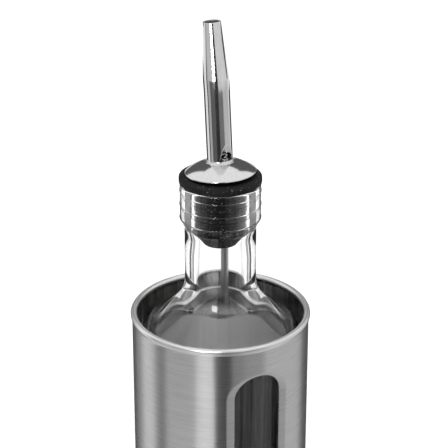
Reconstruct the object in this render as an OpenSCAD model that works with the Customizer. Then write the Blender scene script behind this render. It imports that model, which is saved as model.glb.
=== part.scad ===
// Oil and vinegar bottle: a glass bottle that stands in a brushed steel sleeve with a window,
// and is closed by a rubber cork with a polished steel pourer.
// The origin is the centre of the underside, +Z runs up the bottle, and the window looks along -Y.

/* [Steel sleeve] */
// Height of the sleeve, from the table to the top of its rolled rim
sleeve_top = 190; // [170:1:230]
// Outer diameter of the sleeve's tube
sleeve_d = 67; // [62:0.5:74]
// Thickness of the sleeve's sheet steel
sleeve_wall = 0.7; // [0.5:0.1:1]
// Diameter of the roll along the rim
rim_roll_d = 2.4; // [2:0.1:3]
// How far the rolled rim stands out from the tube
rim_proud = 0.55; // [0.3:0.05:0.8]

/* [Window] */
// Width of the window slot
slot_w = 18.5; // [14:0.5:20]
// Distance from the top of the rim down to the top of the slot
slot_drop = 12.7; // [10:0.1:25]
// Distance from the table up to the bottom of the slot
slot_rise = 26; // [20:1:60]
// Width of the pressed flat at each side of the slot
slot_border = 3.1; // [2:0.1:3.6]
// Width of the pressed flat above and below the slot
slot_lip = 0.9; // [0.6:0.1:2]

/* [Base] */
// How far the foot pad stands below the sleeve's lower edge
foot_proud = 1; // [0.6:0.1:1.5]
// Thickness of the foot pad
foot_t = 3; // [2.4:0.1:4]
// Thickness of the pressed steel base
base_t = 0.8; // [0.6:0.1:1.2]
// Thickness of the cushion's floor, which carries the bottle
cushion_t = 2; // [1.5:0.1:3]
// Height of the cushion's edge around the bottle's heel
cushion_edge_h = 9; // [6:0.5:14]

/* [Glass bottle] */
// Gap between the bottle and the pressed flat beside the window
glass_gap = 0.32; // [0.3:0.01:0.8]
// Thickness of the body's glass
glass_wall = 3; // [2:0.1:3.5]
// Thickness of the glass floor
glass_floor = 6; // [4.5:0.5:9]
// Radius of the heel
heel_r = 5; // [3.5:0.5:7]
// How far the underside is pushed up in its middle
punt_h = 1.6; // [1:0.1:2.4]
// Distance from the top of the rim down to where the shoulder starts
shoulder_drop = 10.5; // [6:0.5:20]
// Radius between the body and the shoulder's slope
shoulder_r = 7; // [5:0.5:9]
// Slope of the shoulder
shoulder_angle = 40; // [35:1:50]
// Radius between the shoulder's slope and the neck
neck_fillet_r = 14; // [10:1:18]
// Outer diameter of the neck
neck_d = 26.8; // [25:0.1:27.5]
// Inner diameter of the neck
neck_bore_d = 18.5; // [17:0.1:19]
// Length of the neck, from its fillet to the lip
neck_h = 38.9; // [36:0.1:50]

/* [Bottle mouth] */
// Outer diameter of the band around the mouth
mouth_d = 30; // [29:0.1:32]
// Height of that band
mouth_h = 14.2; // [12:0.1:16]
// Inner diameter of the mouth
mouth_bore_d = 19.8; // [19.2:0.1:20.4]
// Distance from one moulded ring to the next
ring_pitch = 5.25; // [4:0.05:5.5]
// How far the moulded rings stand out
ring_h = 0.3; // [0.2:0.05:0.5]

/* [Cork] */
// Diameter of the cork's flange
flange_d = 30.7; // [29.6:0.1:32]
// Height of the flange's upright side
flange_side_h = 2; // [1.2:0.1:2.5]
// Height of the flange's sloped top
flange_slope_h = 1.1; // [0.8:0.1:1.5]
// Length of the cork below the lip
cork_depth = 24; // [20:0.5:26]
// Length of the tapered nose
nose_h = 5.6; // [4:0.1:7]
// Diameter of the nose's end
nose_d = 13; // [12.4:0.1:14]
// Number of sealing ribs
rib_count = 4; // [3:1:5]
// Height of the sealing ribs over the cork's core
rib_h = 0.45; // [0.3:0.05:0.8]

/* [Pourer] */
// Outer diameter of the spout's tube
spout_d = 9.5; // [8:0.1:10]
// Thickness of the spout's steel
spout_wall = 0.6; // [0.4:0.05:0.7]
// Outer diameter of the spout's tip
tip_d = 6.6; // [6:0.1:7.5]
// Length of the spout from the cork to its bend
spout_low_h = 30.4; // [22:0.2:36]
// Length of the spout's straight part above the bend
spout_mid_h = 4.2; // [2:0.2:8]
// Length of the spout's tapered part
taper_h = 20.8; // [16:0.2:30]
// Lean of the dome and of the spout below its bend
spout_lean = 4; // [3:0.5:6]
// Further lean of the spout above its bend
tip_bend = 2.7; // [1:0.1:6]
// Angle by which the pourer is turned round from the window
pour_turn = 12; // [-60:1:60]

/* [Dome] */
// Diameter of the dome
dome_d = 26; // [24:0.1:27]
// Radius of the dome's crown
crown_r = 20.8; // [19:0.1:26]
// Thickness of the dome's steel
dome_wall = 0.6; // [0.4:0.05:0.8]

/* [Vent] */
// Outer diameter of the vent tube
vent_d = 2.8; // [2.4:0.1:3]
// Thickness of the vent tube's steel
vent_wall = 0.4; // [0.3:0.05:0.5]
// Distance from the spout's axis to the vent tube's axis
vent_off = 2.5; // [2.2:0.05:2.55]
// Length of the vent tube below the cork
vent_drop = 24.4; // [10:0.2:60]
// Height of the vent tube's end above the dome
vent_rise = 1.6; // [1:0.1:2]
// Radius of the air notch pressed into the spout's foot
notch_r = 3.1; // [2.7:0.05:3.2]
// Slant of the air notch from the spout's axis
notch_slant = 28; // [24:1:36]

/* [Hidden] */
$fn = 96;

// Clearances
press_gap = 0.05;       // between pieces of one body that are pressed or soldered together
running_gap = 0.05;     // between the cork and what turns or slides on it
heel_gap = 0.3;         // between the cushion's edge and the bottle's heel
seat_gap = 0.1;         // between the cork's flange and the lip
dome_gap = 0.3;         // between the dome's lowest edge and the cork
cut_over = 2;           // how far a cut runs past what it cuts

// Sleeve
sleeve_r = sleeve_d / 2;
sleeve_bore_r = sleeve_r - sleeve_wall;
rim_roll_r = rim_roll_d / 2;
rim_z = sleeve_top - rim_roll_r;
rim_ring_r = sleeve_r + rim_proud - rim_roll_r;

// The window's pressed flat, and the radius along which it runs out into the round tube
slot_r = slot_w / 2;
flat_half_w = slot_r + slot_border;
flat_y = sqrt(sleeve_r * sleeve_r - flat_half_w * flat_half_w);
flat_depth = sleeve_r - flat_y;
run_out_h = slot_r + slot_lip;
run_out_r = (run_out_h * run_out_h + flat_depth * flat_depth) / (flat_depth + flat_depth);
slot_top_z = sleeve_top - slot_drop - slot_r;
slot_low_z = slot_rise + slot_r;

// Base, foot and cushion
base_under_z = foot_t;
base_over_z = base_under_z + base_t;
base_bend_r = base_t + base_t;
foot_r = sleeve_bore_r - base_bend_r - press_gap;
foot_edge = foot_proud / 2;
bottle_z = base_over_z + cushion_t;
cushion_r = sleeve_bore_r - heel_gap;

// Bottle body and shoulder
body_r = flat_y - sleeve_wall - glass_gap;
body_bore_r = body_r - glass_wall;
body_top_z = sleeve_top - shoulder_drop;
floor_z = bottle_z + glass_floor;
neck_r = neck_d / 2;
neck_bore_r = neck_bore_d / 2;
slope_cos = cos(shoulder_angle);
slope_sin = sin(shoulder_angle);
slope_tan = tan(shoulder_angle);
corner_x = body_r - shoulder_r;
inner_corner_r = shoulder_r - glass_wall;
fillet_x = neck_r + neck_fillet_r;
slope_top_x = fillet_x - neck_fillet_r * slope_sin;
slope_low_x = corner_x + shoulder_r * slope_sin;
slope_low_z = body_top_z + shoulder_r * slope_cos;
slope_top_z = slope_low_z + (slope_low_x - slope_top_x) * slope_tan;
fillet_z = slope_top_z + neck_fillet_r * slope_cos;
inner_fillet_r = neck_fillet_r - glass_wall;
inner_fillet_x = neck_bore_r + inner_fillet_r;
inner_top_x = inner_fillet_x - inner_fillet_r * slope_sin;
inner_low_x = corner_x + inner_corner_r * slope_sin;
inner_low_z = body_top_z + inner_corner_r * slope_cos;
inner_top_z = inner_low_z + (inner_low_x - inner_top_x) * slope_tan;
inner_fillet_z = inner_top_z + inner_fillet_r * slope_cos;

// Bottle mouth
lip_z = fillet_z + neck_h;
mouth_r = mouth_d / 2;
mouth_bore_r = mouth_bore_d / 2;
lip_round = (mouth_r - mouth_bore_r) / 6;
mouth_low_z = lip_z - mouth_h;
mouth_root_r = neck_r + (mouth_r - neck_r) / 2;
mouth_root_z = mouth_low_z - mouth_r + neck_r;
ring_w = ring_h * 3;
ring_count = 3;

// Cork
boss_share = 0.74;      // of the dome's radius, taken by the boss under it
cork_seat_z = lip_z + seat_gap;
flange_r = flange_d / 2;
flange_round = flange_side_h / 5;
flange_side_z = cork_seat_z + flange_side_h;
cork_top_z = flange_side_z + flange_slope_h;
cork_r = mouth_bore_r - running_gap;
cork_core_r = cork_r - rib_h;
nose_low_z = lip_z - cork_depth;
nose_top_z = nose_low_z + nose_h;
nose_r = nose_d / 2;
cork_bore_r = spout_d / 2 + running_gap;
dome_r = dome_d / 2;
flange_top_r = dome_r + dome_wall / 2;
boss_h = dome_r * sin(spout_lean) + dome_gap + dome_wall / 2;
boss_r = dome_r * boss_share;
boss_top_z = cork_top_z + boss_h;

// Pourer: the stem stands upright in the cork and bends over inside the dome
spout_r = spout_d / 2;
tip_r = tip_d / 2;
stem_low_z = nose_low_z + spout_wall;
dome_base_z = cork_top_z + dome_gap + dome_r * sin(spout_lean);
dome_low = (boss_top_z - dome_base_z) / cos(spout_lean);
crown_drop = sqrt(crown_r * crown_r - dome_r * dome_r);
dome_hole_r = spout_r + press_gap;
dome_top = sqrt(crown_r * crown_r - dome_hole_r * dome_hole_r) - crown_drop - dome_low;

// Vent
vent_r = vent_d / 2;
vent_low_z = nose_low_z - vent_drop;
vent_top_z = boss_top_z + (dome_top + vent_rise) * cos(spout_lean);
notch_low = dome_top - dome_wall;
notch_off = vent_off - vent_r - press_gap * 4 + notch_r / cos(notch_slant);

// Points of an arc around (x, y), from the angle a to the angle b
function arc(x, y, r, a, b, steps = 10) = [
    for (i = [0:steps])
        let (t = a + (b - a) * i / steps)
        [x + r * cos(t), y + r * sin(t)]
];

// A soft disc under the base, which keeps the steel off the table
module foot_pad() {
    color("dimgray")
    rotate_extrude()
    polygon(concat(
        [[0, 0]],
        arc(foot_r - foot_edge, foot_edge, foot_edge, -90, 0, 6),
        [[foot_r, foot_t], [0, foot_t]]
    ));
}

// A pressed steel cup, open downwards, that closes the sleeve's lower end
module sleeve_base() {
    color("silver")
    rotate_extrude()
    polygon(concat(
        [[0, base_over_z]],
        [[0, base_under_z], [sleeve_bore_r - base_bend_r, base_under_z]],
        arc(sleeve_bore_r - base_bend_r, base_over_z - base_bend_r, base_bend_r - base_t, 90, 0, 6),
        [[sleeve_bore_r - base_t, foot_proud], [sleeve_bore_r, foot_proud]],
        arc(sleeve_bore_r - base_bend_r, base_over_z - base_bend_r, base_bend_r, 0, 90, 6)
    ));
}

// The shape that presses the flat into the tube: straight beside the slot, round at its ends
module press_shape(r) {
    translate([-sleeve_r, -flat_y - run_out_r, 0]) {
        for (z = [slot_low_z, slot_top_z])
            translate([0, 0, z])
            rotate([0, 90, 0])
            cylinder(r = r, h = sleeve_d);
        translate([0, -r, slot_low_z])
            cube([sleeve_d, r + r, slot_top_z - slot_low_z]);
    }
}

// The slot itself, as a prism with round ends that runs out through the front
module slot_shape() {
    rotate([90, 0, 0])
    linear_extrude(sleeve_r + cut_over) {
        for (z = [slot_low_z, slot_top_z])
            translate([0, z])
            circle(r = slot_r);
        translate([-slot_r, slot_low_z])
            square([slot_w, slot_top_z - slot_low_z]);
    }
}

// A brushed steel tube with a rolled rim, and a window slot in a pressed flat
module steel_sleeve() {
    color("lightgray") {
        difference() {
            union() {
                difference() {
                    translate([0, 0, foot_proud])
                        cylinder(r = sleeve_r, h = rim_z - foot_proud);
                    translate([0, 0, foot_proud - cut_over])
                        cylinder(r = sleeve_bore_r, h = rim_z - foot_proud + cut_over * 2);
                    press_shape(run_out_r);
                }
                intersection() {
                    translate([0, 0, foot_proud])
                        cylinder(r = sleeve_r, h = rim_z - foot_proud);
                    difference() {
                        press_shape(run_out_r + sleeve_wall);
                        press_shape(run_out_r);
                    }
                }
                translate([0, 0, rim_z])
                rotate_extrude()
                translate([rim_ring_r, 0])
                    circle(r = rim_roll_r, $fn = 48);
            }
            slot_shape();
        }
    }
}

// A soft cup in the sleeve's foot: the bottle stands on its floor, and its edge centres the heel
module bottle_cushion() {
    edge_r = body_r + heel_gap;
    edge_round = (cushion_r - edge_r) / 2;
    color("#333333")
    rotate_extrude()
    polygon(concat(
        [[0, base_over_z], [cushion_r, base_over_z]],
        arc(cushion_r - edge_round, base_over_z + cushion_edge_h - edge_round, edge_round, 0, 180, 10),
        [[edge_r, bottle_z + edge_round]],
        [[edge_r - edge_round, bottle_z], [0, bottle_z]]
    ));
}

// One moulded ring on the mouth, seen in section from below upwards
function ring_points(z) = [
    [mouth_r, z - ring_w / 2], [mouth_r + ring_h, z - ring_w / 6],
    [mouth_r + ring_h, z + ring_w / 6], [mouth_r, z + ring_w / 2]
];

// The bottle's outside, from the middle of its underside to the lip
function bottle_outside() = concat(
    [[0, bottle_z + punt_h]],
    arc(0, bottle_z + punt_h - punt_arc_r, punt_arc_r, 90 - 0.25 * punt_half, 90 - punt_half, 6),
    arc(body_r - heel_r, bottle_z + heel_r, heel_r, -90, 0, 10),
    arc(corner_x, body_top_z, shoulder_r, 0, 90 - shoulder_angle, 12),
    arc(fillet_x, fillet_z, neck_fillet_r, 270 - shoulder_angle, 180, 14),
    [[neck_r, mouth_root_z - mouth_r + neck_r], [mouth_root_r, mouth_root_z]],
    [for (i = [0:ring_count - 1]) each ring_points(mouth_low_z + ring_w / 2 + i * ring_pitch)],
    arc(mouth_r - lip_round, lip_z - lip_round, lip_round, 0, 90, 6)
);

// The bottle's inside, from the lip down to the middle of its floor
function bottle_inside() = concat(
    arc(mouth_bore_r + lip_round, lip_z - lip_round, lip_round, 90, 180, 6),
    [[mouth_bore_r, nose_top_z - lip_round], [neck_bore_r, nose_low_z - lip_round]],
    arc(inner_fillet_x, inner_fillet_z, inner_fillet_r, 180, 270 - shoulder_angle, 14),
    arc(corner_x, body_top_z, inner_corner_r, 90 - shoulder_angle, 0, 12),
    arc(body_bore_r - heel_r, floor_z + heel_r, heel_r, 0, -90, 10),
    [[0, floor_z + punt_h / 2]]
);

// The punt under the bottle is a shallow cap of a large ball
punt_edge_r = body_r - heel_r * 2;
punt_arc_r = (punt_edge_r * punt_edge_r + punt_h * punt_h) / (punt_h + punt_h);
punt_half = asin(punt_edge_r / punt_arc_r);

// The clear glass bottle
module glass_bottle() {
    color([0.8, 0.85, 0.85, 0.4])
    rotate_extrude()
    polygon(concat(bottle_outside(), bottle_inside()));
}

// One sealing rib of the cork, from its upper edge down
function rib_points(z, w) = [
    [cork_core_r, z + w / 2], [cork_r, z + w / 4], [cork_r, z - w / 4], [cork_core_r, z - w / 2]
];

// The black rubber cork: a flange on the lip, ribs in the mouth, and a bore for the stem
module cork() {
    rib_pitch = (cork_seat_z - nose_top_z) / (rib_count + 0.5);
    nose_round = nose_h / 4;
    color("#1c1c1c")
    rotate_extrude()
    polygon(concat(
        [[cork_bore_r, nose_low_z], [nose_r - nose_round, nose_low_z]],
        arc(nose_r - nose_round, nose_low_z + nose_round, nose_round, -90, -20, 5),
        [for (i = [rib_count - 1:-1:0])
            for (k = [3:-1:0])
                rib_points(cork_seat_z - (i + 1) * rib_pitch, rib_pitch / 2)[k]],
        [[cork_core_r, cork_seat_z]],
        arc(flange_r - flange_round, cork_seat_z + flange_round, flange_round, -90, 0, 4),
        [[flange_r, flange_side_z], [flange_top_r, cork_top_z]],
        [[boss_r + boss_h / 2, cork_top_z], [boss_r, boss_top_z], [cork_bore_r, boss_top_z]]
    ));
}

// Carries what it is given up to the foot of the spout, at the spout's lean
module on_spout() {
    rotate([0, 0, pour_turn])
    translate([0, 0, boss_top_z])
    rotate([-spout_lean, 0, 0])
        children();
}

// The polished dome, a cap of a ball with a hole for the spout
module dome_collar() {
    color("gainsboro")
    on_spout()
    translate([0, 0, -dome_low])
    rotate_extrude()
    intersection() {
        translate([0, -crown_drop])
        difference() {
            circle(r = crown_r);
            circle(r = crown_r - dome_wall);
        }
        translate([dome_hole_r, 0])
            square([dome_r, crown_r]);
    }
}

// All that lies above a mitre plane through the origin, leaning by the given angle
module above_mitre(angle) {
    rotate([-angle, 0, 0])
    translate([-spout_d, -spout_d, 0])
        cube(spout_d * 2);
}

// All that lies below such a plane
module below_mitre(angle) {
    rotate([180 - angle, 0, 0])
    translate([-spout_d, -spout_d, 0])
        cube(spout_d * 2);
}

// A straight piece of tube that may taper
module tube(h, r_low, r_top, wall) {
    slope = (r_low - r_top) / h;
    difference() {
        cylinder(h = h, r1 = r_low, r2 = r_top);
        translate([0, 0, -cut_over])
            cylinder(h = h + cut_over * 2, r1 = r_low - wall + slope * cut_over,
                     r2 = r_top - wall - slope * cut_over);
    }
}

// The whole run of the spout's tube: its pieces meet at two mitres
module spout_run() {
    rotate([0, 0, pour_turn])
    difference() {
        translate([0, 0, stem_low_z])
            tube(boss_top_z - stem_low_z + spout_r, spout_r, spout_r, spout_wall);
        translate([0, 0, boss_top_z])
            above_mitre(spout_lean / 2);
    }
    on_spout()
    difference() {
        translate([0, 0, -spout_r])
            tube(spout_low_h + spout_d, spout_r, spout_r, spout_wall);
        below_mitre(-spout_lean / 2);
        translate([0, 0, spout_low_h])
            above_mitre(tip_bend / 2);
    }
    on_spout()
    translate([0, 0, spout_low_h])
    rotate([-tip_bend, 0, 0]) {
        difference() {
            translate([0, 0, -spout_r])
                tube(spout_mid_h + spout_r, spout_r, spout_r, spout_wall);
            below_mitre(-tip_bend / 2);
        }
        translate([0, 0, spout_mid_h])
            tube(taper_h, spout_r, tip_r, spout_wall);
    }
}

// The slanting space of the air notch, grown by the given amount
module notch_space(grow) {
    intersection() {
        translate([0, -notch_off, notch_low])
        rotate([notch_slant, 0, 0])
        translate([0, 0, -spout_d])
            cylinder(r = notch_r + grow, h = spout_d * 3);
        translate([-spout_d, -spout_d * 2, notch_low - grow])
            cube([spout_d * 2, spout_d * 2, spout_d * 2]);
    }
}

// The polished spout: a stem through the cork, a foot with an air notch, and a tapered tip
module pour_spout() {
    color("gainsboro")
    difference() {
        union() {
            difference() {
                spout_run();
                on_spout() notch_space(0);
            }
            on_spout()
            intersection() {
                difference() {
                    notch_space(spout_wall);
                    notch_space(0);
                }
                cylinder(r = spout_r - spout_wall / 2, h = spout_low_h);
            }
        }
        on_vent()
            cylinder(r = vent_r + press_gap, h = vent_top_z - vent_low_z);
    }
}

// Carries what it is given to the lower end of the vent tube, beside the spout's axis
module on_vent() {
    rotate([0, 0, pour_turn])
    translate([0, -vent_off, vent_low_z])
        children();
}

// The thin tube that lets air into the bottle while oil runs out
module vent_tube() {
    color("silver")
    on_vent()
        tube(vent_top_z - vent_low_z, vent_r, vent_r, vent_wall);
}

foot_pad();
sleeve_base();
steel_sleeve();
bottle_cushion();
glass_bottle();
cork();
dome_collar();
pour_spout();
vent_tube();
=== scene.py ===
# %% [markdown]
# # An oil and vinegar bottle, dressed around its CAD frame
# The bottle is clear glass and stands in a brushed steel sleeve with a tall window.
# A black rubber cork closes it and carries a polished steel pourer.
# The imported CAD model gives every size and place. Each piece here stands for one CAD node, has that
# node's outline, and adds what a solid modeller leaves out: rounded edges, creases and finishes.

import math

import bmesh
import bpy
import numpy as np
from mathutils import Matrix, Vector


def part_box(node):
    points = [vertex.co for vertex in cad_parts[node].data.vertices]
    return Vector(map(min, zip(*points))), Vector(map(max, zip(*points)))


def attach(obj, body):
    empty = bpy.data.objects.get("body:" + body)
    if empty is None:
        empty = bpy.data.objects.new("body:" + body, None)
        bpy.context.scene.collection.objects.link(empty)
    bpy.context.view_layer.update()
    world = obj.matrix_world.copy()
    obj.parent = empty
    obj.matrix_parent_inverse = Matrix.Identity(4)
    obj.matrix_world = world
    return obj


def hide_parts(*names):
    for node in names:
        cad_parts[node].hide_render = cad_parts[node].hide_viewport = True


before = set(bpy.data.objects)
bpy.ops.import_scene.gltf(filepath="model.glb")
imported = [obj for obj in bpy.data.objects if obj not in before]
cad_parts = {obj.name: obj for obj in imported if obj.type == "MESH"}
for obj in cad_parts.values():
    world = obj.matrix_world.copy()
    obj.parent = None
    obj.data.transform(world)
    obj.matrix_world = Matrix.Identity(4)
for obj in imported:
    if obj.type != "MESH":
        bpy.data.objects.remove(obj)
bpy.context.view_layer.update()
MM = 0.001

# %% [markdown]
# ## Reading sizes off the frame
# Blender works in metres and in the CAD model's own frame, so a height is read from a node's box.
# What a box can't say, such as a wall or a round, is a named value beside the piece that has it.


# %% Heights and reaches of the nodes
def low(node):
    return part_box(node)[0].z


def top(node):
    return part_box(node)[1].z


def reach(node):
    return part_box(node)[1].x


lip_z = top("glass_bottle")
bottle_z = low("glass_bottle")
sleeve_top = top("steel_sleeve")
print("lip at", round(lip_z / MM, 1), "mm, rim at", round(sleeve_top / MM, 1), "mm")

# %% [markdown]
# ## Small helpers for node trees
# Both shaders and Geometry Nodes are built in code. One helper adds a node, sets its options and
# fills its sockets, so that each later line reads like a sentence about the material or the shape.


# %% Node helpers
def add(tree, kind, inputs=None, **options):
    """A new node. inputs maps a socket's name or number to a value or to another node's output."""
    made = tree.nodes.new(kind)
    for option, value in options.items():
        setattr(made, option, value)
    for socket, value in (inputs or {}).items():
        if isinstance(value, bpy.types.NodeSocket):
            tree.links.new(value, made.inputs[socket])
        else:
            made.inputs[socket].default_value = value
    return made


def maths(tree, operation, a, b=0.0, c=0.0):
    """The output of a Math node."""
    return add(tree, "ShaderNodeMath", {0: a, 1: b, 2: c}, operation=operation).outputs[0]


def vector_maths(tree, operation, a, b):
    """The vector that a Vector Math node puts out."""
    return add(tree, "ShaderNodeVectorMath", {0: a, 1: b}, operation=operation).outputs[0]


def mix(tree, a, b, share):
    """A share of a, and b for the rest."""
    return maths(tree, "MULTIPLY_ADD", a, share, maths(tree, "MULTIPLY", b, 1 - share))


def ramp(tree, value, start, stop, at_start=0.0, at_stop=1.0, way="SMOOTHSTEP"):
    """Goes from at_start to at_stop while value goes from start to stop."""
    return add(tree, "ShaderNodeMapRange", {
        "Value": value, "From Min": start, "From Max": stop, "To Min": at_start, "To Max": at_stop,
    }, interpolation_type=way).outputs[0]


def between(tree, mask, least, most):
    """A mask of 0 to 1 becomes a value from least to most."""
    return ramp(tree, mask, 0.0, 1.0, least, most, way="LINEAR")


def spaced(inputs):
    """Keywords with spaces for their underscores, because sockets are named so."""
    return {key.replace("_", " "): value for key, value in inputs.items()}


SOCKETS = {float: "NodeSocketFloat", int: "NodeSocketInt", tuple: "NodeSocketVector"}


def new_group(name, kind, inputs, outputs):
    """A node group with its input and output nodes. A value's own type picks the kind of its socket."""
    tree = bpy.data.node_groups.new(name, kind)
    for label, value in inputs.items():
        socket_type = value if isinstance(value, str) else SOCKETS[type(value)]
        socket = tree.interface.new_socket(label, in_out="INPUT", socket_type=socket_type)
        if not isinstance(value, str):
            socket.default_value = value
    for label, socket_type in outputs.items():
        tree.interface.new_socket(label, in_out="OUTPUT", socket_type=socket_type)
    return tree, tree.nodes.new("NodeGroupInput").outputs, tree.nodes.new("NodeGroupOutput").inputs


# %% [markdown]
# ## Shared surface effects
# Metal and rubber are told apart by small things: lines left by a brush or a drawing die, cloudy
# patches where hands and cloths have been, and dust. Each effect is one node group that reads a
# position and puts out a mask, and each material places it with its own sizes.


# %% Effect: noise drawn out into lines
def stretched_noise_group():
    """Noise with one pitch across the axis and another along it, which makes brush or drawing lines."""
    tree, given, out = new_group(
        "Stretched Noise", "ShaderNodeTree",
        {"Vector": (0.0, 0.0, 0.0), "Across": 100.0, "Along": 100.0, "Detail": 3.0, "Contrast": 1.0},
        {"Mask": "NodeSocketFloat"},
    )
    across = given["Across"]
    pitch = add(tree, "ShaderNodeCombineXYZ", {0: across, 1: across, 2: given["Along"]}).outputs[0]
    place = vector_maths(tree, "MULTIPLY", given["Vector"], pitch)
    noise = add(tree, "ShaderNodeTexNoise", {"Vector": place, "Scale": 1.0, "Detail": given["Detail"],
                                             "Roughness": 0.6})
    centred = maths(tree, "SUBTRACT", noise.outputs[0], 0.5)
    spread = maths(tree, "MULTIPLY_ADD", centred, given["Contrast"], 0.5)
    clamped = add(tree, "ShaderNodeClamp", {"Value": spread})
    tree.links.new(clamped.outputs[0], out["Mask"])
    return tree


STRETCHED = stretched_noise_group()


# %% Effect: cloudy wear and fine specks
def handling_group():
    """Cloudy patches and sparse specks, for finger marks on metal and dust on rubber."""
    tree, given, out = new_group(
        "Handling", "ShaderNodeTree",
        {"Vector": (0.0, 0.0, 0.0), "Patch Pitch": 60.0, "Speck Pitch": 900.0, "Speck Share": 0.1},
        {"Patches": "NodeSocketFloat", "Specks": "NodeSocketFloat"},
    )
    place, speck_pitch = given["Vector"], given["Speck Pitch"]
    patches = add(tree, "ShaderNodeTexNoise", {"Vector": place, "Scale": given["Patch Pitch"],
                                               "Detail": 4.0, "Roughness": 0.55})
    cells = add(tree, "ShaderNodeTexVoronoi", {"Vector": place, "Scale": speck_pitch})
    near = maths(tree, "LESS_THAN", cells.outputs["Distance"], given["Speck Share"])
    thinned = add(tree, "ShaderNodeTexNoise", {"Vector": place, "Scale": speck_pitch, "Detail": 1.0})
    thinning = 0.56
    few = maths(tree, "GREATER_THAN", thinned.outputs[0], thinning)
    specks = maths(tree, "MULTIPLY", near, few)
    tree.links.new(patches.outputs[0], out["Patches"])
    tree.links.new(specks, out["Specks"])
    return tree


HANDLING = handling_group()
print("shared effects:", STRETCHED.name, "and", HANDLING.name)

# %% [markdown]
# ## Steel
# All the metal is stainless steel, and only its finish differs. The sleeve is brushed round the tube,
# so its lines lie level and its highlights are drawn out upright: that is anisotropy, with the tangent
# running round the axis. The pourer is polished along its length and keeps sharp reflections.
# The lines go into the colour, the roughness and a very small bump, as a real scratch does all three.


# %% What every material starts from
def new_material(name):
    """An empty material with its tree, its Principled shader and its object coordinates."""
    material = bpy.data.materials.new(name)
    material.use_nodes = True
    tree = material.node_tree
    place = add(tree, "ShaderNodeTexCoord").outputs["Object"]
    return material, tree, tree.nodes["Principled BSDF"], place


def group(tree, effect, **inputs):
    """The outputs of a shared effect, placed with its inputs by name."""
    return add(tree, "ShaderNodeGroup", spaced(inputs), node_tree=effect).outputs


def rough_and_bumped(tree, shader, rough, height, depth):
    """Feeds the shader a roughness and a bump of the given depth."""
    bump = add(tree, "ShaderNodeBump", {"Height": height, "Strength": 1.0, "Distance": depth})
    tree.links.new(rough, shader.inputs["Roughness"])
    tree.links.new(bump.outputs[0], shader.inputs["Normal"])


def grey_surface(tree, shader, grey, rough, height, depth):
    """The same, with a grey that changes over the surface."""
    colour = add(tree, "ShaderNodeCombineColor", {0: grey, 1: grey, 2: grey})
    tree.links.new(colour.outputs[0], shader.inputs["Base Color"])
    rough_and_bumped(tree, shader, rough, height, depth)


def fixed(shader, **values):
    """Plain values on the shader's own sockets."""
    for socket, value in spaced(values).items():
        shader.inputs[socket].default_value = value


# %% Steel materials
def steel(name, grey, rough, across, along, line_depth, anisotropy=0.0, coarser=4.0):
    """Stainless steel. grey and rough are (least, most), across and along are pitches per metre."""
    material, tree, shader, place = new_material(name)
    fine = group(tree, STRETCHED, Vector=place, Across=across, Along=along, Detail=4.0, Contrast=1.5)
    wide = group(tree, STRETCHED, Vector=place, Across=across / coarser ** 0.5, Along=along / coarser,
                 Detail=3.0, Contrast=1.5)
    lines = mix(tree, fine["Mask"], wide["Mask"], 0.5)
    marks = group(tree, HANDLING, Vector=place, Patch_Pitch=55.0, Speck_Pitch=700.0, Speck_Share=0.05)
    worn = mix(tree, marks["Patches"], lines, 0.5)
    matt = between(tree, worn, *rough)
    grey_surface(tree, shader, between(tree, lines, *grey), matt, lines, line_depth)
    fixed(shader, Metallic=1.0)
    if anisotropy:
        round_the_axis = add(tree, "ShaderNodeTangent", direction_type="RADIAL", axis="Z")
        tree.links.new(round_the_axis.outputs[0], shader.inputs["Tangent"])
        fixed(shader, Anisotropic=anisotropy, Anisotropic_Rotation=0.25)
    return material


BRUSHED = steel("brushed_steel", (0.44, 0.72), (0.24, 0.32), 85.0, 3600.0, 0.0009 * MM,
                anisotropy=0.9, coarser=2.0)
RIM = steel("rolled_rim", (0.74, 0.88), (0.28, 0.36), 45.0, 3000.0, 0.001 * MM)
POLISHED = steel("mirror_steel", (0.60, 0.82), (0.08, 0.16), 2600.0, 60.0, 0.0005 * MM)
INSIDE_TIP = steel("drawn_inside", (0.40, 0.64), (0.40, 0.55), 1500.0, 60.0, 0.001 * MM)
DRAWN = steel("drawn_steel", (0.40, 0.52), (0.25, 0.38), 2600.0, 60.0, 0.002 * MM)
PRESSED = steel("pressed_steel", (0.50, 0.60), (0.30, 0.42), 300.0, 300.0, 0.003 * MM)


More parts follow.
